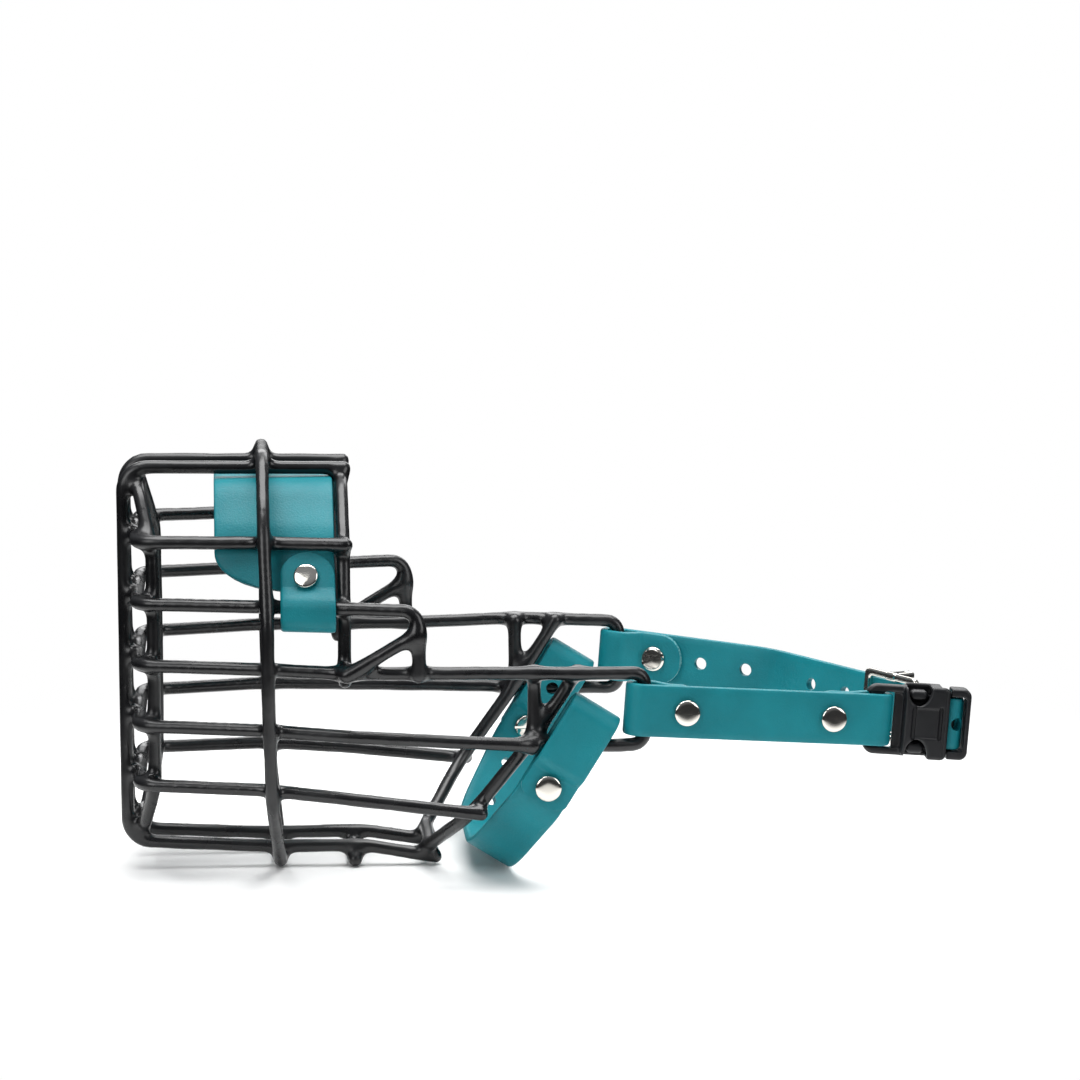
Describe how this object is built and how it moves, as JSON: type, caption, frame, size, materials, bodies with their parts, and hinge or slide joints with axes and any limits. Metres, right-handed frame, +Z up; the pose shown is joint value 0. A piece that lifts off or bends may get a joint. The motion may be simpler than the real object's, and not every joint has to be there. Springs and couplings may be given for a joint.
{
  "type": "basket muzzle",
  "caption": "Wire basket muzzle for a dog, dip-coated, with a nose pad, a buckled neck strap with a metal slide, and a throat strap.",
  "frame": {"origin": "middle of the straight foot of the middle hoop, where the basket rests", "axes": "+X from the nose towards the back of the head, +Z up, +Y to the wearer's right as the muzzle is laid out"},
  "size_m": [0.2978, 0.1252, 0.1497],
  "materials": {
    "dip_coat": "satin",
    "webbing": "satin",
    "nickel": "polished",
    "acetal": "satin"
  },
  "bodies": {
    "basket": {"centre_wire_left": "dip_coat", "centre_wire_right": "dip_coat", "cheek_post_left": "dip_coat", "cheek_post_right": "dip_coat", "step_brace_left": "dip_coat", "step_brace_right": "dip_coat", "middle_hoop": "dip_coat", "front_hoop": "dip_coat", "rear_arch": "dip_coat", "chin_arch": "dip_coat", "chin_cross_wire": "dip_coat", "level_1_wire": "dip_coat", "level_2_wire": "dip_coat", "level_3_wire": "dip_coat", "level_4_wire": "dip_coat", "level_5_wire": "dip_coat", "nose_pad": "webbing", "nose_pad_left_post": "nickel", "nose_pad_left_screw": "nickel", "nose_pad_right_post": "nickel", "nose_pad_right_screw": "nickel"},
    "neck_strap": {"neck_strap_left": "webbing", "neck_left_front_post": "nickel", "neck_left_front_screw": "nickel", "neck_left_rear_post": "nickel", "neck_left_rear_screw": "nickel", "neck_strap_right": "webbing", "neck_right_post": "nickel", "neck_right_screw": "nickel", "buckle_female": "acetal"},
    "buckle_male_half": {"buckle_male": "acetal", "neck_strap_back": "webbing"},
    "slide": {"strap_slide": "nickel"},
    "upper_prong": {"release_prong_upper": "acetal"},
    "lower_prong": {"release_prong_lower": "acetal"},
    "throat_strap": {"throat_strap": "webbing", "throat_left_post": "nickel", "throat_left_screw": "nickel", "throat_right_post": "nickel", "throat_right_screw": "nickel"}
  },
  "joints": [
    {"name": "neck_strap_tilt", "type": "hinge", "parent": "basket", "child": "neck_strap", "pos_m": [0.1265, 0, 0.06275], "axis": [0, 1, 0], "range_deg": [-12, 3]},
    {"name": "strap_slide_travel", "type": "slide", "parent": "buckle_male_half", "child": "slide", "axis": [-0.6011, 0.7978, 0.0473], "range_m": [-0.005, 0.02]},
    {"name": "buckle_release", "type": "slide", "parent": "neck_strap", "child": "buckle_male_half", "axis": [0.9969, 0, -0.0785], "range_m": [0, 0.018]},
    {"name": "release_prong_upper_squeeze", "type": "hinge", "parent": "buckle_male_half", "child": "upper_prong", "pos_m": [0.22955, -0.0465, 0.06317], "axis": [0, 1, 0], "range_deg": [-12, 0], "stiffness_Nm_per_rad": 0.05},
    {"name": "release_prong_lower_squeeze", "type": "hinge", "parent": "buckle_male_half", "child": "lower_prong", "pos_m": [0.22822, -0.0465, 0.04622], "axis": [0, 1, 0], "range_deg": [0, 12], "stiffness_Nm_per_rad": 0.05},
    {"name": "throat_strap_swing", "type": "hinge", "parent": "basket", "child": "throat_strap", "pos_m": [0.1077, 0, 0.0604], "axis": [0, 1, 0], "range_deg": [-18, 2]}
  ],
  "couplings": [
    {"joint": "release_prong_lower_squeeze", "follows": "release_prong_upper_squeeze", "ratio": -1}
  ]
}
